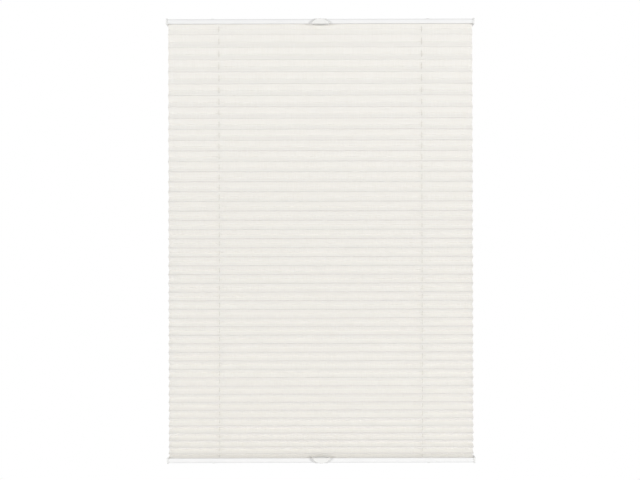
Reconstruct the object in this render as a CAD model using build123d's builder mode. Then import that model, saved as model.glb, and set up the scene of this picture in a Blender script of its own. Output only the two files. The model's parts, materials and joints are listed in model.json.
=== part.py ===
from build123d import *
from math import sqrt
import os

# A cord-tensioned pleated blind. Two rails slide on two upright cords, and a pleated fabric hangs
# between them. Millimetres, +Z up, the front faces -Y. The origin is the middle of the plane that
# the upper tension shoes are screwed to.

# Whole blind
blind_width = 900.0
blind_height = 1300.0
fit_clearance = 0.15
overrun = 1.0

# Cords
cord_inset = 153.0
cord_diameter = 1.2
cord_bore = 2.0

# Rails
rail_depth = 21.0
rail_height = 14.5
rail_wall = 1.0
rail_nose_radius = 5.0
rail_edge_radius = 0.6
rail_fabric_lip = 1.5
rail_shoe_slot = 12.6

# End caps
cap_thickness = 4.0
cap_overhang = 2.0
cap_edge_radius = 1.2
cap_plug_length = 12.0
cap_plug_wall = 1.6

# Strips that hold the fabric in the rails
strip_thickness = 1.2
strip_headroom = 0.6
strip_side_gap = 0.3
strip_edge_radius = 0.3

# Fabric
fabric_thickness = 0.35
fabric_end_gap = 0.8
fabric_hole_diameter = 4.4
fabric_hole_sides = 8
fabric_tab_gap = 1.8
fold_width = 20.0
first_fold_drop = 11.9
last_fold_rise = 3.0
# How far the pleats are opened from the top to the bottom, 1 being flat
opening_shares = (0.94, 0.845, 0.76, 0.68, 0.645, 0.627, 0.62, 0.57, 0.465)

# Cord guides in the rails' webs
guide_thickness = 1.2
guide_width = 11.0
guide_inner_reach = 14.0
guide_outer_reach = 6.0
guide_corner_radius = 2.0
guide_shank_diameter = 5.0
guide_shank_tail = 0.3
guide_mouth_radius = 0.5
saddle_length = 8.0
saddle_height = 1.6
saddle_floor = 0.3
saddle_end_radius = 0.4
run_offset = 2.4
run_end_gap = 5.2

# Tension shoes
shoe_length = 34.0
shoe_inner_reach = 4.6
shoe_side_gap = 0.5
shoe_foot_gap = 0.4
shoe_corner_radius = 2.5
shoe_edge_radius = 0.8
shoe_floor = 2.6
shoe_seat_diameter = 10.0
screw_offset = 18.0
screw_hole_diameter = 3.4
screw_head_diameter = 6.8
pocket_diameter = 5.2

# Cord stops and springs
stop_diameter = 4.0
stop_height = 2.4
stop_edge_radius = 0.6
spring_diameter = 4.4
spring_wire = 0.5
spring_height = 4.6
spring_turns = 4

# Handles
handle_width = 50.0
handle_height = 19.0
handle_shoulder = 9.0
handle_overlap = 4.0
handle_projection = 11.0
handle_draft_inset = 3.0
handle_corner_radius = 7.5
handle_front_radius = 2.6
handle_wall = 1.6
handle_plate = 1.4
clip_width = 38.0
clip_wall = 1.2
clip_tooth_width = 1.0
clip_tooth_depth = 1.8

# Worked-out sizes and levels, from the mounting plane down into the top rail
cord_x = blind_width / 2 - cord_inset
cord_radius = cord_diameter / 2
rail_length = blind_width - 2 * cap_thickness
rail_top = -cap_overhang
rail_bottom = rail_top - rail_height
strip_bottom = rail_bottom + rail_wall
web_bottom = strip_bottom + strip_thickness + strip_headroom
web_top = web_bottom + rail_wall
guide_top = web_top + guide_thickness
run_level = guide_top + saddle_floor + cord_radius
shoe_bottom = guide_top + shoe_foot_gap
pocket_bottom = shoe_bottom + shoe_floor
fabric_opening = rail_depth - 2 * (rail_wall + rail_fabric_lip)
fabric_tab_width = fabric_opening - 2 * fabric_tab_gap
strip_width = rail_depth - 2 * (rail_wall + strip_side_gap)
mid_height = Plane.XY.offset(-blind_height / 2)


def cup_section(depth, inset):
    """The handle's outline this far in front, set in all round, its straight side past the mouth."""
    mouth = rail_bottom - handle_overlap
    half = handle_width / 2 - inset
    shoulder = mouth + handle_shoulder - inset
    crown = mouth + handle_height - inset
    foot = mouth - handle_projection
    with BuildSketch(Plane.XZ.offset(depth)) as section:
        with BuildLine():
            Polyline((half, shoulder), (half, foot), (-half, foot), (-half, shoulder))
            ThreePointArc((-half, shoulder), (0, crown), (half, shoulder))
        make_face()
        corners = section.vertices().group_by(Axis.Y)[-1]
        fillet(corners, radius=handle_corner_radius - inset)
    return section.sketch


def opening_share(place_share):
    """How far the pleat at this share of the way down is opened."""
    steps = len(opening_shares) - 1
    step = min(int(place_share * steps), steps - 1)
    above, below = opening_shares[step : step + 2]
    return above + (below - above) * (place_share * steps - step)


def fold_points():
    """The folded line of the fabric as (y, z), from its tab in the top rail to that in the bottom."""
    first_fold = rail_bottom - first_fold_drop
    last_fold = -blind_height - rail_bottom + last_fold_rise
    steps = len(opening_shares) - 1
    mean_share = (sum(opening_shares) - (opening_shares[0] + opening_shares[-1]) / 2) / steps
    count = round((first_fold - last_fold) / (2 * fold_width * mean_share))
    shares = [opening_share((pleat + 0.5) / count) for pleat in range(count)]
    fill_share = (first_fold - last_fold) / (2 * fold_width * sum(shares))

    tab_level = strip_bottom - fabric_thickness / 2
    points = [(fabric_tab_width / 2, tab_level), (-fabric_tab_width / 2, tab_level)]
    level = first_fold
    for share in shares:
        rise = fold_width * share * fill_share
        reach = sqrt(fold_width**2 - rise**2) / 2
        points += [(reach, level), (-reach, level - rise)]
        level -= 2 * rise
    points += [(reach, level)]
    points += [(y, -blind_height - z) for y, z in points[1::-1]]
    return points


def sheet_outline(points):
    """The mitred outline of a sheet of the fabric's thickness folded along these points."""
    line = [Vector(*point) for point in points]
    runs = [(end - start).normalized() for start, end in zip(line, line[1:])]
    sides = [Vector(-run.Y, run.X) * (fabric_thickness / 2) for run in runs]
    mitres = [sides[0]]
    for before, after in zip(sides, sides[1:]):
        middle = (before + after).normalized()
        mitres.append(middle * (before.length**2 / middle.dot(before)))
    mitres.append(sides[-1])
    front = [point + mitre for point, mitre in zip(line, mitres)]
    back = [point - mitre for point, mitre in zip(line, mitres)]
    return front + back[::-1]


def cord_holes(points):
    """One plane behind each panel of the fabric for each cord, where the cord goes through."""
    planes = []
    for (start_y, start_z), (end_y, end_z) in zip(points, points[1:]):
        level = start_z + (end_z - start_z) * start_y / (start_y - end_y)
        for x in (-cord_x, cord_x):
            across = (0, end_z - start_z, start_y - end_y)
            hole = Plane(origin=(x, 0, level), x_dir=(1, 0, 0), z_dir=across)
            planes.append(hole.offset(-fabric_thickness))
    return planes


# The outside of a rail's section, shared by the rail, its caps and its handle
with BuildSketch() as rail_outline:
    with Locations((0, (rail_top + rail_bottom) / 2)):
        Rectangle(rail_depth, rail_height)
    fillet(rail_outline.vertices().group_by(Axis.Y)[-1], radius=rail_nose_radius)
    fillet(rail_outline.vertices().group_by(Axis.Y)[0], radius=rail_edge_radius)

# Rail: an extrusion with an outer channel for the shoes, a web, and a lipped groove for the strip
with BuildPart() as top_rail:
    with BuildSketch(Plane.YZ):
        add(rail_outline.sketch)
        offset(amount=-rail_wall, mode=Mode.SUBTRACT)
        with Locations((0, web_bottom)):
            Rectangle(rail_depth - rail_wall, rail_wall, align=(Align.CENTER, Align.MIN))
        with Locations((0, rail_top)):
            Rectangle(rail_shoe_slot, 2 * (rail_wall + overrun), mode=Mode.SUBTRACT)
        with Locations((0, strip_bottom)):
            Rectangle(
                fabric_opening, rail_wall + overrun, align=(Align.CENTER, Align.MAX), mode=Mode.SUBTRACT
            )
    extrude(amount=rail_length / 2, both=True)
    with BuildSketch(Plane.XY.offset(web_bottom)):
        with GridLocations(2 * cord_x, 0, 2, 1):
            Circle(guide_shank_diameter / 2 + fit_clearance)
    extrude(amount=rail_wall, mode=Mode.SUBTRACT)

# End cap: a flange round the rail's end, with an arched plug in the outer channel
with BuildPart() as top_right_end_cap:
    with BuildSketch(Plane.YZ.offset(rail_length / 2)):
        offset(rail_outline.sketch, amount=cap_overhang)
    extrude(amount=cap_thickness)
    fillet(top_right_end_cap.faces().sort_by(Axis.X)[-1].edges(), radius=cap_edge_radius)
    with BuildSketch(Plane.YZ.offset(rail_length / 2)):
        offset(rail_outline.sketch, amount=-rail_wall - fit_clearance)
        offset(rail_outline.sketch, amount=-rail_wall - fit_clearance - cap_plug_wall, mode=Mode.SUBTRACT)
        with Locations((0, web_top + fit_clearance)):
            Rectangle(rail_depth, rail_height, align=(Align.CENTER, Align.MAX), mode=Mode.SUBTRACT)
    extrude(amount=-cap_plug_length)

# Handle: a moulded cup, open towards the fabric, on a clip that hugs the front of the rail
with BuildPart() as top_handle:
    handle_back = rail_depth / 2 + fit_clearance
    handle_front = handle_back + handle_projection
    loft([cup_section(handle_back, 0), cup_section(handle_front, handle_draft_inset)])
    fillet(top_handle.faces().sort_by(Axis.Y)[0].edges(), radius=handle_front_radius)
    hollow_back = cup_section(handle_back + handle_plate, handle_wall)
    hollow_front = cup_section(handle_front - handle_wall, handle_draft_inset + handle_wall)
    loft([hollow_back, hollow_front], mode=Mode.SUBTRACT)
    split(bisect_by=Plane.XY.offset(rail_bottom - handle_overlap), keep=Keep.TOP)
    with BuildSketch(Plane.YZ):
        offset(rail_outline.sketch, amount=fit_clearance + clip_wall)
        offset(rail_outline.sketch, amount=fit_clearance, mode=Mode.SUBTRACT)
        tooth_front = fit_clearance - rail_shoe_slot / 2
        with Locations((tooth_front, (rail_top + rail_bottom) / 2)):
            Rectangle(2 * rail_depth, 2 * rail_height, align=(Align.MIN, Align.CENTER), mode=Mode.SUBTRACT)
        foot_reach = 2 * (fit_clearance + clip_wall + overrun)
        with Locations((-fabric_opening / 2, rail_bottom)):
            Rectangle(rail_depth, foot_reach, align=(Align.MIN, Align.CENTER), mode=Mode.SUBTRACT)
        with Locations((tooth_front, rail_top + fit_clearance + clip_wall)):
            Rectangle(clip_tooth_width, clip_wall + clip_tooth_depth, align=(Align.MIN, Align.MAX))
    extrude(amount=clip_width / 2, both=True)

# Fabric strip: a flat bar above the rail's lips
with BuildPart() as top_fabric_strip:
    with BuildSketch(Plane.YZ):
        with Locations((0, strip_bottom)):
            Rectangle(strip_width, strip_thickness, align=(Align.CENTER, Align.MIN))
    extrude(amount=rail_length / 2 - fabric_end_gap, both=True)
    fillet(top_fabric_strip.edges().filter_by(Axis.X), radius=strip_edge_radius)
    with BuildSketch(Plane.XY.offset(strip_bottom)):
        with GridLocations(2 * cord_x, 0, 2, 1):
            Circle(fabric_hole_diameter / 2)
    extrude(amount=strip_thickness, mode=Mode.SUBTRACT)

# Cord guide: a bush in the web with a saddle for the two cords that cross over in the rail
with BuildPart() as top_right_cord_guide:
    with BuildSketch(Plane.XY.offset(web_top)):
        with Locations((cord_x - guide_inner_reach, 0)):
            Rectangle(
                guide_inner_reach + guide_outer_reach, guide_width, align=(Align.MIN, Align.CENTER)
            )
    extrude(amount=guide_thickness)
    with BuildSketch(Plane.XY.offset(guide_top)):
        with Locations((cord_x - guide_inner_reach, 0)):
            Rectangle(saddle_length, guide_width, align=(Align.MIN, Align.CENTER))
    extrude(amount=saddle_height)
    fillet(top_right_cord_guide.edges().filter_by(Axis.Z), radius=guide_corner_radius)
    with BuildSketch(Plane.XY.offset(guide_top + saddle_floor)):
        with Locations((cord_x - guide_inner_reach, -run_offset), (cord_x - guide_inner_reach, run_offset)):
            Rectangle(2 * saddle_length + overrun, cord_diameter + 2 * fit_clearance)
    extrude(amount=saddle_height, mode=Mode.SUBTRACT)
    saddle_rim = top_right_cord_guide.faces().group_by(Axis.Z)[-1].edges().filter_by(Axis.Y)
    fillet(saddle_rim, radius=saddle_end_radius)
    with BuildSketch(Plane.XY.offset(web_top)):
        with Locations((cord_x, 0)):
            Circle(guide_shank_diameter / 2)
    extrude(amount=-rail_wall - guide_shank_tail)
    with Locations((cord_x, 0, guide_top)):
        Hole(radius=cord_bore / 2)
    rings = top_right_cord_guide.edges().filter_by(GeomType.CIRCLE)
    mouths = rings.filter_by(lambda ring: abs(ring.radius - cord_bore / 2) < fit_clearance)
    fillet(mouths, radius=guide_mouth_radius)

# The two stretches of cord that cross over inside the rail, from saddle to saddle
with BuildPart() as top_front_cord_run:
    with BuildSketch(Plane.YZ):
        with Locations((-run_offset, run_level)):
            Circle(cord_radius)
    extrude(amount=cord_x - run_end_gap, both=True)
with BuildPart() as top_back_cord_run:
    mirror(top_front_cord_run.part, about=Plane.XZ)

# Tension shoe: a block with a pocket for the cord's stop and a raised seat round its screw
with BuildPart() as upper_right_shoe:
    with BuildSketch(Plane.XY.offset(rail_top)) as shoe_plan:
        with Locations((cord_x - shoe_inner_reach, 0)):
            Rectangle(shoe_length, rail_shoe_slot - 2 * shoe_side_gap, align=(Align.MIN, Align.CENTER))
        fillet(shoe_plan.vertices(), radius=shoe_corner_radius)
    extrude(amount=shoe_bottom - rail_top)
    fillet(upper_right_shoe.faces().sort_by(Axis.Z)[0].edges(), radius=shoe_edge_radius)
    with BuildSketch():
        with Locations((cord_x + screw_offset, 0)):
            Circle(shoe_seat_diameter / 2)
    extrude(amount=rail_top)
    with Locations((cord_x, 0, rail_top)):
        Hole(radius=pocket_diameter / 2, depth=rail_top - pocket_bottom)
        Hole(radius=cord_bore / 2)
    with Locations(Plane(origin=(cord_x + screw_offset, 0, shoe_bottom), z_dir=(0, 0, -1))):
        CounterSinkHole(radius=screw_hole_diameter / 2, counter_sink_radius=screw_head_diameter / 2)

# Cord stop: a bead on the floor of the shoe's pocket
with BuildPart() as upper_right_cord_stop:
    with BuildSketch(Plane.XY.offset(pocket_bottom)):
        with Locations((cord_x, 0)):
            Circle(stop_diameter / 2)
    extrude(amount=stop_height)
    fillet(upper_right_cord_stop.edges(), radius=stop_edge_radius)

# Spring: a coil between the floor of the lower shoe's pocket and its stop
with BuildPart() as lower_right_spring:
    coil_height = spring_height - spring_wire
    coil_start = -blind_height - pocket_bottom - spring_height + spring_wire / 2
    with BuildLine() as coil:
        Helix(
            pitch=coil_height / spring_turns,
            height=coil_height,
            radius=(spring_diameter - spring_wire) / 2,
            center=(cord_x, 0, coil_start),
        )
    with BuildSketch(Plane(origin=coil.line @ 0, z_dir=coil.line % 0)):
        Circle(spring_wire / 2)
    sweep(is_frenet=True)

# Cord: straight from the stop in the upper shoe to the stop under the lower shoe's spring
with BuildPart() as right_cord:
    cord_length = blind_height + 2 * pocket_bottom + spring_height
    with BuildSketch(Plane.XY.offset(pocket_bottom)):
        with Locations((cord_x, 0)):
            Circle(cord_radius)
    extrude(amount=-cord_length)

# Pleated fabric: one sheet, folded to and fro, punched where the cords go through
with BuildPart() as pleated_fabric:
    folds = fold_points()
    with BuildSketch(Plane.YZ):
        with BuildLine():
            Polyline(*sheet_outline(folds), close=True)
        make_face()
    extrude(amount=rail_length / 2 - fabric_end_gap, both=True)
    with BuildSketch(*cord_holes(folds)):
        RegularPolygon(fabric_hole_diameter / 2, fabric_hole_sides, major_radius=False)
    extrude(amount=2 * fabric_thickness, mode=Mode.SUBTRACT)

# The lower shoes' stops hang below the springs
with BuildPart() as lower_right_cord_stop:
    mirror(upper_right_cord_stop.part, about=mid_height.offset(-spring_height / 2))

pieces = {
    "top_rail": top_rail,
    "top_right_end_cap": top_right_end_cap,
    "top_handle": top_handle,
    "top_fabric_strip": top_fabric_strip,
    "top_right_cord_guide": top_right_cord_guide,
    "top_front_cord_run": top_front_cord_run,
    "top_back_cord_run": top_back_cord_run,
    "upper_right_shoe": upper_right_shoe,
    "upper_right_cord_stop": upper_right_cord_stop,
    "lower_right_cord_stop": lower_right_cord_stop,
    "lower_right_spring": lower_right_spring,
    "right_cord": right_cord,
    "pleated_fabric": pleated_fabric,
}

# The bottom rail's set and the lower shoes are the upper ones turned over
for name in [name for name in pieces if name.startswith("top_") or name == "upper_right_shoe"]:
    with BuildPart() as lower_piece:
        mirror(pieces[name].part, about=mid_height)
    pieces[name.replace("top_", "bottom_").replace("upper_", "lower_")] = lower_piece

# The left-hand pieces mirror the right-hand ones
for name in [name for name in pieces if "right_" in name]:
    with BuildPart() as left_piece:
        mirror(pieces[name].part, about=Plane.YZ)
    pieces[name.replace("right_", "left_")] = left_piece

os.makedirs("parts", exist_ok=True)
for name, piece in pieces.items():
    piece.part.label = name
    export_step(piece.part, f"parts/{name}.step")
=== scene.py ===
import json
import math

import bpy
import numpy as np
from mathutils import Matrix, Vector


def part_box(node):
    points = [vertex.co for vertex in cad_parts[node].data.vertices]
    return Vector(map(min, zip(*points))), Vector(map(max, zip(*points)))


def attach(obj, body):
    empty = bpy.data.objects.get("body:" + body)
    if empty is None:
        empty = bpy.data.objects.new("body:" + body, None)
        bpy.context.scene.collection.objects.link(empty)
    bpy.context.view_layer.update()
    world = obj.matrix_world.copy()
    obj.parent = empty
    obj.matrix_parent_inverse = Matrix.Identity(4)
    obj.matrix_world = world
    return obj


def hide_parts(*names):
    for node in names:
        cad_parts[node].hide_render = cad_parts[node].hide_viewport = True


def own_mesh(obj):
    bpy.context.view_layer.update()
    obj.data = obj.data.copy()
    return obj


# A cord-tensioned pleated blind. Metres, +Z up, the front faces -Y, as in the CAD frame.
# The rails, caps, grips, shoes and cords are the CAD's own nodes with new materials. The fabric is
# built here as thin folded cloth whose panels curve between their creases.

MM = 0.001

# Fabric, as in the CAD source
FOLD_WIDTH = 20.0 * MM
FIRST_FOLD_DROP = 11.9 * MM
LAST_FOLD_RISE = 3.0 * MM
TAB_WIDTH = 12.4 * MM
CLOTH_THICKNESS = 0.35 * MM
OPENING_SHARES = (0.94, 0.845, 0.76, 0.68, 0.645, 0.627, 0.62, 0.57, 0.465)

# Fabric, finer than in the CAD source: its end panels, its cord holes and its pinched creases
TOP_TAB_FRONT = 3.6 * MM
LAST_CREASE_LIFT = 3.0 * MM
CORD_HOLE_WIDTH = 2.4 * MM
CORD_HOLE_LENGTH = 4.4 * MM
PINCH_HEIGHT = 1.4 * MM
PINCH_LENGTH = 2.0 * MM
LONGEST_MITRE = 3.0

# A slight sag along each panel: its height, and two waves in radians per metre and per panel
SAG_HEIGHT = 0.04 * MM
LONG_WAVE = 9.0
LONG_WAVE_STEP = 2.399
LONG_WAVE_START = 0.7
SHORT_WAVE = 23.0
SHORT_WAVE_STEP = 1.7

# How finely the cloth is divided
PANEL_STEPS = 5
HOLE_STEPS = 4
HOLE_PATCH = 6.0 * MM
CELL_WIDTH = 20.0 * MM
CROSSING_STEPS = 40

# Light: a lamp on each side in front, a third behind, and an even white room
SIDE_LAMP_X = 4.98
SIDE_LAMP_Y = -4.18
SIDE_LAMP_Z = -0.32
SIDE_LAMP_SIZE = 0.4
KEY_POWER = 192.0
FILL_POWER = 150.0
BACK_LAMP_PLACE = (-2.0, 6.2, -0.3)
BACK_LAMP_SIZE = 0.8
BACK_POWER = 150.0
ROOM_STRENGTH = 0.42

# Floor, just below the picture
FLOOR_LEVEL = -1.55
FLOOR_HALF_WIDTH = 2.2
FLOOR_FRONT = -2.4
FLOOR_BACK = 0.45

# Camera: straight on, two metres in front of the rails
CAMERA_LENS = 38.6
CAMERA_DISTANCE = 2.0
CAMERA_X = -2.0 * MM
CAMERA_Z = -647.5 * MM
CAMERA_ROLL = math.radians(0.13)

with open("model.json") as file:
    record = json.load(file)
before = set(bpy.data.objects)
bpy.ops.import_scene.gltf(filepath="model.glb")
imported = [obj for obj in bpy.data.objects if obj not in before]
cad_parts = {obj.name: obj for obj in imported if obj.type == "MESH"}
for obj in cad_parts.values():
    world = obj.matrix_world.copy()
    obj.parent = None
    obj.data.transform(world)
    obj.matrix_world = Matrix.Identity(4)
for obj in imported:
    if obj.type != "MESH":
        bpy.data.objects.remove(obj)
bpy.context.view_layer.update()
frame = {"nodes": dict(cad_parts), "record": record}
nodes = frame["nodes"]


# Folded cloth


def opening_share(place_share):
    """How far the pleat at this share of the way down is opened."""
    steps = len(OPENING_SHARES) - 1
    step = min(int(place_share * steps), steps - 1)
    above, below = OPENING_SHARES[step : step + 2]
    return above + (below - above) * (place_share * steps - step)


def fold_line(top, bottom):
    """The creases of the cloth between these two rail edges as (y, z), from the top down."""
    first = top - FIRST_FOLD_DROP
    last = bottom + LAST_FOLD_RISE
    steps = len(OPENING_SHARES) - 1
    mean_share = (sum(OPENING_SHARES) - (OPENING_SHARES[0] + OPENING_SHARES[-1]) / 2) / steps
    count = round((first - last) / (2 * FOLD_WIDTH * mean_share))
    shares = [opening_share((pleat + 0.5) / count) for pleat in range(count)]
    fill_share = (first - last) / (2 * FOLD_WIDTH * sum(shares))
    creases = []
    level = first
    for share in shares:
        rise = FOLD_WIDTH * share * fill_share
        reach = math.sqrt(FOLD_WIDTH**2 - rise**2) / 2
        creases += [(reach, level), (-reach, level - rise)]
        level -= 2 * rise
    return creases + [(reach, level)]


def panel_depth(start, end, along, pinch):
    """The depth this share of the way along a panel whose creases are pinched in by this much."""
    fade = PINCH_LENGTH / FOLD_WIDTH
    pinched = math.exp((along - 1) / fade) - math.exp(-along / fade)
    pinched = (1 + pinched / (1 - math.exp(-1 / fade))) / 2
    share = 2 * pinch / abs(end - start)
    return start + (end - start) * (along + share * (pinched - along))


def cord_crossing(start, end, pinch):
    """The share along a panel from depth start to depth end at which it meets the cord's plane."""
    low, high = 0.0, 1.0
    for _ in range(CROSSING_STEPS):
        halfway = (low + high) / 2
        if panel_depth(start, end, halfway, pinch) * start > 0:
            low = halfway
        else:
            high = halfway
    return (low + high) / 2


def panel_rows(start, end, pinch):
    """A panel's points as (y, z, slack) rows from its first crease to just before its second."""
    crossing = cord_crossing(start[0], end[0], pinch)
    patch = HOLE_PATCH / 2 / math.dist(start, end)
    closer_at_crease = np.linspace(0, 1, PANEL_STEPS, endpoint=False) ** 2
    before = (crossing - patch) * closer_at_crease
    inside = np.linspace(crossing - patch, crossing + patch, HOLE_STEPS, endpoint=False)
    after = 1 - (1 - crossing - patch) * np.append(closer_at_crease, 1)[:0:-1]
    rows = []
    for along in np.concatenate([before, inside, after]):
        y = panel_depth(start[0], end[0], along, pinch)
        z = start[1] + (end[1] - start[1]) * along
        rows.append((y, z, math.sin(math.pi * along) ** 2))
    return rows


def cloth_rows(creases, pinch, first_panel):
    """All rows through these creases, which rows are creases or start a hole, and their panels."""
    rows, crease_rows, hole_rows, panels = [], [], [], []
    for number in range(len(creases) - 1):
        panel = panel_rows(creases[number], creases[number + 1], pinch)
        crease_rows.append(len(rows))
        hole_rows.append(len(rows) + PANEL_STEPS)
        panels += [first_panel + number] * len(panel)
        rows += panel
    crease_rows.append(len(rows))
    rows.append((*creases[-1], 0.0))
    panels.append(first_panel + len(creases) - 1)
    return np.array(rows), crease_rows, hole_rows, np.array(panels)


def row_mitres(line):
    """Half the cloth's thickness across each row, longer at creases so that the cloth keeps it."""
    runs = np.diff(line, axis=0)
    runs /= np.linalg.norm(runs, axis=1)[:, None]
    sides = np.column_stack([runs[:, 1], -runs[:, 0]])
    before = np.vstack([sides[:1], sides])
    after = np.vstack([sides, sides[-1:]])
    between = before + after
    between /= np.linalg.norm(between, axis=1)[:, None]
    stretch = 1 / np.maximum((between * before).sum(1), 1 / LONGEST_MITRE)
    return between * (stretch * CLOTH_THICKNESS / 2)[:, None]


def sag(x, panel):
    """A slow wave along a panel that keeps it from being dead flat."""
    long_wave = np.sin(x * LONG_WAVE + panel * LONG_WAVE_STEP + LONG_WAVE_START)
    return long_wave * np.sin(x * SHORT_WAVE + panel * SHORT_WAVE_STEP) * SAG_HEIGHT


def cloth_columns(half_width, cord_x):
    """The x of each column of the cloth, and the first column of each patch with a cord hole."""
    patch = HOLE_PATCH / 2
    stops = [-half_width, -cord_x - patch, -cord_x + patch]
    stops += [cord_x - patch, cord_x + patch, half_width]
    columns, hole_columns = [], []
    for number, (left, right) in enumerate(zip(stops, stops[1:])):
        has_hole = number % 2 == 1
        if has_hole:
            hole_columns.append(len(columns))
        cells = HOLE_STEPS if has_hole else round((right - left) / CELL_WIDTH)
        columns += list(np.linspace(left, right, cells, endpoint=False))
    return np.array(columns + [half_width]), hole_columns


def patch_border(row, column):
    """The (row, column) of the points round the patch that starts here."""
    span = range(HOLE_STEPS)
    border = [(row, column + k) for k in span]
    border += [(row + k, column + HOLE_STEPS) for k in span]
    border += [(row + HOLE_STEPS, column + HOLE_STEPS - k) for k in span]
    border += [(row + HOLE_STEPS - k, column) for k in span]
    return border


def grid_border(width, row_count):
    """The points round the whole grid."""
    border = list(range(width))
    border += [row * width + width - 1 for row in range(1, row_count)]
    border += [(row_count - 1) * width + column for column in range(width - 2, -1, -1)]
    border += [row * width for row in range(row_count - 2, 0, -1)]
    return border


def punched_grid(columns, hole_columns, hole_rows, run_lengths):
    """One side of the cloth: points as (x, row number), faces, and the ring of each hole."""
    width = len(columns)
    row_count = len(run_lengths)
    grid = [(x, row) for row in range(row_count) for x in columns]
    patches = [(row, column) for row in hole_rows for column in hole_columns]
    in_patch = set()
    for row, column in patches:
        for row_step in range(HOLE_STEPS):
            for column_step in range(HOLE_STEPS):
                in_patch.add((row + row_step, column + column_step))
    faces = []
    for row in range(row_count - 1):
        for column in range(width - 1):
            if (row, column) not in in_patch:
                corner = row * width + column
                faces.append((corner, corner + 1, corner + width + 1, corner + width))
    rings = []
    for row, column in patches:
        border = patch_border(row, column)
        centre_x = columns[column + HOLE_STEPS // 2]
        centre_row = row + HOLE_STEPS / 2
        row_length = (run_lengths[row + HOLE_STEPS] - run_lengths[row]) / HOLE_STEPS
        ring = []
        for border_row, border_column in border:
            across = columns[border_column] - centre_x
            down = (border_row - centre_row) * row_length
            share = 0.5 / math.hypot(across / CORD_HOLE_WIDTH, down / CORD_HOLE_LENGTH)
            ring.append(len(grid))
            grid.append((centre_x + across * share, centre_row + down * share / row_length))
        outer = [border_row * width + border_column for border_row, border_column in border]
        for k in range(len(border)):
            after = (k + 1) % len(border)
            faces.append((outer[k], outer[after], ring[after], ring[k]))
        rings.append(ring)
    return np.array(grid), faces, rings


def mark_sharp(mesh, groups):
    """Make each edge between two points of the same group sharp."""
    ends = np.zeros(2 * len(mesh.edges), np.int32)
    mesh.edges.foreach_get("vertices", ends)
    ends = ends.reshape(-1, 2)
    sharp = np.zeros(len(ends), bool)
    for group in groups:
        in_group = np.zeros(len(mesh.vertices), bool)
        in_group[group] = True
        sharp |= in_group[ends[:, 0]] & in_group[ends[:, 1]]
    mesh.edges.foreach_set("use_edge_sharp", sharp)


def make_cloth(name, creases, pinch, half_width, cord_x, first_panel):
    """A strip of folded cloth through these creases, punched for the cords, and its flat length."""
    columns, hole_columns = cloth_columns(half_width, cord_x)
    rows, crease_rows, hole_rows, panels = cloth_rows(creases, pinch, first_panel)
    line = rows[:, :2]
    steps = np.linalg.norm(np.diff(line, axis=0), axis=1)
    run_lengths = np.concatenate([[0], np.cumsum(steps)])
    grid, faces, rings = punched_grid(columns, hole_columns, hole_rows, run_lengths)

    # Both sides of the cloth
    x, place = grid.T
    whole_rows = np.arange(len(rows))
    y, z, slack = (np.interp(place, whole_rows, values) for values in rows.T)
    mitre_y, mitre_z = (np.interp(place, whole_rows, values) for values in row_mitres(line).T)
    y = y + slack * sag(x, panels[place.astype(int)])
    front = np.column_stack([x, y + mitre_y, z + mitre_z])
    back = np.column_stack([x, y - mitre_y, z - mitre_z])

    # Their faces, joined round the border and in each hole
    count = len(grid)
    width = len(columns)
    border = grid_border(width, len(rows))
    all_faces = [tuple(reversed(face)) for face in faces]
    all_faces += [tuple(corner + count for corner in face) for face in faces]
    for loop in [border] + [ring[::-1] for ring in rings]:
        for here, after in zip(loop, loop[1:] + loop[:1]):
            all_faces.append((here, after, after + count, here + count))
    mesh = bpy.data.meshes.new(name)
    mesh.from_pydata(np.vstack([front, back]).tolist(), [], all_faces)

    # The weave lies flat on the unfolded cloth
    weave = mesh.uv_layers.new(name="weave")
    corners = np.zeros(len(mesh.loops), np.int32)
    mesh.loops.foreach_get("vertex_index", corners)
    flat = np.column_stack([x, np.interp(place, whole_rows, run_lengths)])
    flat = np.vstack([flat, flat])
    weave.data.foreach_set("uv", flat[corners].astype(np.float32).ravel())

    mesh.polygons.foreach_set("use_smooth", np.ones(len(mesh.polygons), bool))
    crease_points = [row * width + column for row in crease_rows for column in range(width)]
    rim_points = border + [point for ring in rings for point in ring]
    groups = [np.array(points) for points in (crease_points, rim_points)]
    mark_sharp(mesh, [np.concatenate([points, points + count]) for points in groups])
    mesh.validate()
    cloth = bpy.data.objects.new(name, mesh)
    bpy.context.scene.collection.objects.link(cloth)
    return cloth, float(run_lengths[-1])


# Materials


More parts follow.
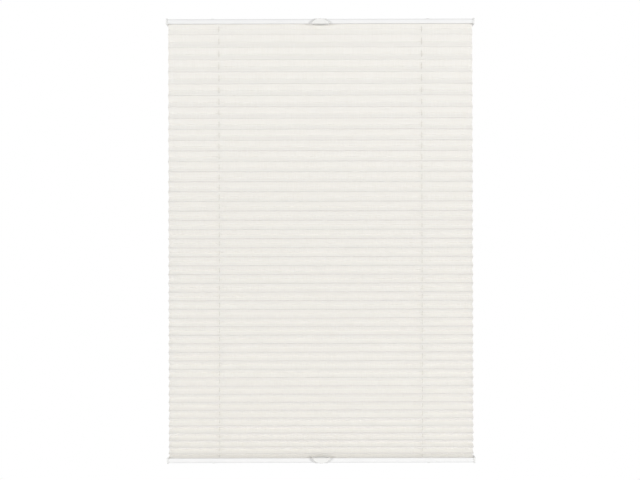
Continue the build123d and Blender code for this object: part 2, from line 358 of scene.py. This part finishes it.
class Nodes:
    """A material with one Principled shader, and short ways to add nodes to it."""

    def __init__(self, name):
        self.material = bpy.data.materials.new(name)
        self.material.use_nodes = True
        self.tree = self.material.node_tree
        self.shader = self.tree.nodes["Principled BSDF"]

    def add(self, kind, **settings):
        node = self.tree.nodes.new(kind)
        for key, value in settings.items():
            setattr(node, key, value)
        return node

    def link(self, source, target):
        self.tree.links.new(source, target)

    def feed(self, source, name):
        self.link(source, self.shader.inputs[name])

    def set(self, **values):
        for key, value in values.items():
            self.shader.inputs[key.replace("_", " ")].default_value = value

    def noise(self, vector, scale, detail=2.0, roughness=0.5):
        node = self.add("ShaderNodeTexNoise")
        node.inputs["Scale"].default_value = scale
        node.inputs["Detail"].default_value = detail
        node.inputs["Roughness"].default_value = roughness
        self.link(vector, node.inputs["Vector"])
        return node.outputs["Fac"]

    def bands(self, vector, direction, scale, distortion=0.0):
        node = self.add("ShaderNodeTexWave", wave_type="BANDS", bands_direction=direction)
        node.inputs["Scale"].default_value = scale
        node.inputs["Distortion"].default_value = distortion
        self.link(vector, node.inputs["Vector"])
        return node.outputs["Fac"]

    def mapped(self, vector, **values):
        node = self.add("ShaderNodeMapping")
        for key, value in values.items():
            node.inputs[key].default_value = value
        self.link(vector, node.inputs["Vector"])
        return node.outputs["Vector"]

    def ramp(self, factor, stops):
        node = self.add("ShaderNodeValToRGB")
        elements = node.color_ramp.elements
        while len(elements) < len(stops):
            elements.new(0.5)
        for element, (place, colour) in zip(elements, stops):
            element.position = place
            element.color = (*colour, 1.0)
        self.link(factor, node.inputs["Fac"])
        return node.outputs["Color"]

    def spread(self, factor, low, high):
        node = self.add("ShaderNodeMapRange")
        node.inputs["To Min"].default_value = low
        node.inputs["To Max"].default_value = high
        self.link(factor, node.inputs["Value"])
        return node.outputs["Result"]

    def combine(self, operation, first, second):
        node = self.add("ShaderNodeMath", operation=operation)
        self.link(first, node.inputs[0])
        self.link(second, node.inputs[1])
        return node.outputs["Value"]

    def halved(self, value):
        node = self.add("ShaderNodeMath", operation="MULTIPLY")
        node.inputs[1].default_value = 0.5
        self.link(value, node.inputs[0])
        return node.outputs["Value"]

    def bump(self, height, distance, strength=1.0):
        node = self.add("ShaderNodeBump")
        node.inputs["Distance"].default_value = distance
        node.inputs["Strength"].default_value = strength
        self.link(height, node.inputs["Height"])
        self.feed(node.outputs["Normal"], "Normal")


def moulded(name, pale, dark, roughness, grain, grain_height):
    """A coated or moulded surface: faint clouding, fine grain, uneven gloss."""
    cloud_scale = 14.0
    gloss_spread = 0.07
    made = Nodes(name)
    place = made.add("ShaderNodeTexCoord").outputs["Object"]
    clouds = made.noise(place, cloud_scale, detail=3.0)
    made.feed(made.ramp(clouds, [(0.3, dark), (0.7, pale)]), "Base Color")
    fine = made.noise(place, 1 / grain, detail=2.0, roughness=0.6)
    made.feed(made.spread(fine, roughness - gloss_spread, roughness + gloss_spread), "Roughness")
    made.bump(fine, grain_height)
    return made


def linen():
    """Cream cloth: slubby threads both ways, plain weave, soft sheen and some light through it."""
    weft_scale = (18.0, 900.0, 1.0)
    warp_scale = (900.0, 22.0, 1.0)
    thread_scale = 280.0
    thread_height = 0.08 * MM
    dark, plain, pale = (0.815, 0.795, 0.758), (0.855, 0.841, 0.810), (0.885, 0.875, 0.850)
    made = Nodes("cream_linen")
    flat = made.add("ShaderNodeUVMap", uv_map="weave").outputs["UV"]
    weft = made.noise(made.mapped(flat, Scale=weft_scale), scale=1.0, detail=3.0, roughness=0.6)
    warp = made.noise(made.mapped(flat, Scale=warp_scale), scale=1.0, detail=3.0, roughness=0.6)
    slubs = made.combine("ADD", weft, warp)
    tint = made.ramp(made.halved(slubs), [(0.3, dark), (0.5, plain), (0.7, pale)])
    made.feed(tint, "Base Color")
    threads = [made.bands(flat, way, thread_scale, distortion=1.2) for way in ("X", "Y")]
    weave = made.combine("MULTIPLY", *threads)
    made.bump(made.combine("ADD", weave, slubs), thread_height, strength=0.6)
    made.set(Roughness=0.9, Specular_IOR_Level=0.2, Sheen_Weight=0.3, Sheen_Roughness=0.35)
    made.set(Subsurface_Weight=1.0, Subsurface_Radius=(1.0, 1.0, 1.0), Subsurface_Scale=0.3 * MM)
    return made.material


def braid():
    """A pale cord's diagonal braid, painted darker than the cord so that its colour stands in for
    the shadows it casts on the cloth.
    """
    strand_scale = 300.0
    strand_height = 0.08 * MM
    made = Nodes("braid_painted_shade")
    place = made.add("ShaderNodeTexCoord").outputs["Object"]
    strands = made.bands(made.mapped(place, Rotation=(0.6, 0.6, 0.0)), "DIAGONAL", strand_scale)
    # Painted shade: these greys are darker than the real pale cord and stand in for its shadows on
    # the cloth.
    tint = made.ramp(strands, [(0.0, (0.60, 0.58, 0.53)), (1.0, (0.70, 0.68, 0.63))])
    made.feed(tint, "Base Color")
    made.bump(strands, strand_height)
    made.set(Roughness=0.75, Sheen_Weight=0.1)
    return made.material


def bright_wire():
    """Drawn steel wire."""
    streak_scale = (300.0, 300.0, 2500.0)
    made = Nodes("drawn_wire")
    place = made.add("ShaderNodeTexCoord").outputs["Object"]
    streaks = made.noise(made.mapped(place, Scale=streak_scale), scale=1.0, detail=3.0)
    made.feed(made.spread(streaks, low=0.22, high=0.42), "Roughness")
    tint = made.ramp(streaks, [(0.3, (0.52, 0.53, 0.55)), (0.7, (0.70, 0.71, 0.73))])
    made.feed(tint, "Base Color")
    made.set(Metallic=1.0)
    return made.material


powder_coat = moulded(
    "powder_coat",
    pale=(0.92, 0.92, 0.915),
    dark=(0.895, 0.895, 0.89),
    roughness=0.42,
    grain=0.35 * MM,
    grain_height=0.012 * MM,
)
powder_coat.set(Specular_IOR_Level=0.4)
cap_plastic = moulded(
    "cap_plastic",
    pale=(0.88, 0.88, 0.865),
    dark=(0.86, 0.86, 0.845),
    roughness=0.55,
    grain=0.25 * MM,
    grain_height=0.02 * MM,
)
grip_plastic = moulded(
    "grip_plastic",
    pale=(0.90, 0.895, 0.875),
    dark=(0.88, 0.875, 0.855),
    roughness=0.24,
    grain=0.5 * MM,
    grain_height=0.004 * MM,
)
grip_plastic.set(Coat_Weight=0.2, Coat_Roughness=0.12)
moulding_plastic = moulded(
    "moulding_plastic",
    pale=(0.87, 0.87, 0.85),
    dark=(0.84, 0.84, 0.82),
    roughness=0.48,
    grain=0.25 * MM,
    grain_height=0.015 * MM,
)
slot_materials = {
    "rail_white": powder_coat.material,
    "cap_white": cap_plastic.material,
    "grip_white": grip_plastic.material,
    "moulding_white": moulding_plastic.material,
    "fabric_cream": linen(),
    "cord_white": braid(),
    "spring_steel": bright_wire(),
}
for part in frame["record"]["subparts"]:
    node = nodes[part["node"]]
    node.data.materials.clear()
    node.data.materials.append(slot_materials[part["material_slot"]])


# The cloth in four pieces: a hem on each rail, and an upper and a lower stretch, held by the
# fixings, that meet at a crease near the middle

top_rail_low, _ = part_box("top_rail")
_, bottom_rail_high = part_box("bottom_rail")
fabric_low, fabric_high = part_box("pleated_fabric")
half_width = fabric_high.x
cord_low, cord_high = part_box("right_cord")
cord_x = (cord_low.x + cord_high.x) / 2

creases = fold_line(top_rail_low.z, bottom_rail_high.z)
last_y, last_z = creases[-1]
creases[-1] = (last_y, last_z + LAST_CREASE_LIFT)
middle = (top_rail_low.z + bottom_rail_high.z) / 2
seam = min(range(0, len(creases), 2), key=lambda number: abs(creases[number][1] - middle))
seam_level = creases[seam][1]
top_tab = fabric_high.z - CLOTH_THICKNESS / 2
bottom_tab = fabric_low.z + CLOTH_THICKNESS / 2
top_hem_line = [(TAB_WIDTH / 2, top_tab), (-TOP_TAB_FRONT, top_tab), creases[0]]
bottom_hem_line = [creases[-1], (-TAB_WIDTH / 2, bottom_tab), (TAB_WIDTH / 2, bottom_tab)]


def cloth_piece(name, line, pinch, first_panel):
    """A strip of the blind's cloth in its material, and its flat length."""
    piece, length = make_cloth(name, line, pinch, half_width, cord_x, first_panel)
    piece.data.materials.append(slot_materials["fabric_cream"])
    return piece, length


top_hem, _ = cloth_piece("fabric_top_hem", top_hem_line, 0.0, first_panel=0)
upper, upper_length = cloth_piece("fabric_upper", creases[: seam + 1], PINCH_HEIGHT, first_panel=2)
lower, lower_length = cloth_piece("fabric_lower", creases[seam:], PINCH_HEIGHT, seam + 2)
bottom_hem, _ = cloth_piece("fabric_bottom_hem", bottom_hem_line, 0.0, len(creases) + 1)

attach(top_hem, "top_rail_unit")
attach(bottom_hem, "bottom_rail_unit")
upper_reach = creases[0][1] - seam_level
lower_reach = seam_level - creases[-1][1]
for piece, hem, strip, joint, length, reach in (
    (upper, top_hem, "top_fabric_strip", "top_rail_slide", upper_length, upper_reach),
    (lower, bottom_hem, "bottom_fabric_strip", "bottom_rail_slide", lower_length, lower_reach),
):
    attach(piece, "fixings")
    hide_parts("pleated_fabric")
    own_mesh(piece)


# Stage: a pale floor below the blind, white all round, soft light


def make_floor():
    """A pale floor just below the picture, which bounces light up."""
    left, right = -FLOOR_HALF_WIDTH, FLOOR_HALF_WIDTH
    corners = [(left, FLOOR_FRONT), (right, FLOOR_FRONT), (right, FLOOR_BACK), (left, FLOOR_BACK)]
    mesh = bpy.data.meshes.new("floor")
    mesh.from_pydata([(x, y, FLOOR_LEVEL) for x, y in corners], [], [(0, 1, 2, 3)])
    floor = bpy.data.objects.new("floor", mesh)
    bpy.context.scene.collection.objects.link(floor)
    made = Nodes("floor_paint")
    place = made.add("ShaderNodeTexCoord").outputs["Object"]
    clouds = made.noise(place, scale=3.0, detail=3.0)
    tint = made.ramp(clouds, [(0.3, (0.88, 0.88, 0.875)), (0.7, (0.90, 0.90, 0.895))])
    made.feed(tint, "Base Color")
    made.set(Roughness=0.8)
    mesh.materials.append(made.material)


def make_world(strength):
    """White to the camera and in reflections, dimmer as light."""
    world = bpy.data.worlds.new("studio")
    world.use_nodes = True
    tree = world.node_tree
    light = tree.nodes["Background"]
    white = tree.nodes.new("ShaderNodeBackground")
    for background in (light, white):
        background.inputs["Color"].default_value = (1.0, 1.0, 1.0, 1.0)
    light.inputs["Strength"].default_value = strength
    path = tree.nodes.new("ShaderNodeLightPath")
    seen = path.outputs["Is Camera Ray"]
    for kind in ("Is Glossy Ray", "Is Transmission Ray"):
        either = tree.nodes.new("ShaderNodeMath")
        either.operation = "MAXIMUM"
        tree.links.new(seen, either.inputs[0])
        tree.links.new(path.outputs[kind], either.inputs[1])
        seen = either.outputs["Value"]
    mix = tree.nodes.new("ShaderNodeMixShader")
    tree.links.new(seen, mix.inputs["Fac"])
    tree.links.new(light.outputs["Background"], mix.inputs[1])
    tree.links.new(white.outputs["Background"], mix.inputs[2])
    tree.links.new(mix.outputs["Shader"], tree.nodes["World Output"].inputs["Surface"])
    bpy.context.scene.world = world


def add_softbox(name, place, size, power):
    """A square soft light at this place, turned to the middle of the blind."""
    lamp = bpy.data.lights.new(name, "AREA")
    lamp.shape = "SQUARE"
    lamp.size = size
    lamp.energy = power
    holder = bpy.data.objects.new(name, lamp)
    holder.location = place
    aim = Vector((0.0, 0.0, middle)) - Vector(place)
    holder.rotation_mode = "QUATERNION"
    holder.rotation_quaternion = aim.to_track_quat("-Z", "Y")
    bpy.context.scene.collection.objects.link(holder)


make_floor()
make_world(ROOM_STRENGTH)
add_softbox("key_right", (SIDE_LAMP_X, SIDE_LAMP_Y, SIDE_LAMP_Z), SIDE_LAMP_SIZE, KEY_POWER)
add_softbox("fill_left", (-SIDE_LAMP_X, SIDE_LAMP_Y, SIDE_LAMP_Z), SIDE_LAMP_SIZE, FILL_POWER)
add_softbox("back_soft", BACK_LAMP_PLACE, BACK_LAMP_SIZE, BACK_POWER)

camera = bpy.data.objects.new("camera", bpy.data.cameras.new("camera"))
camera.data.lens = CAMERA_LENS
camera.location = (CAMERA_X, top_rail_low.y - CAMERA_DISTANCE, CAMERA_Z)
camera.rotation_euler = (math.pi / 2, CAMERA_ROLL, 0.0)
bpy.context.scene.collection.objects.link(camera)
bpy.context.scene.camera = camera
bpy.context.scene.view_settings.view_transform = "Standard"
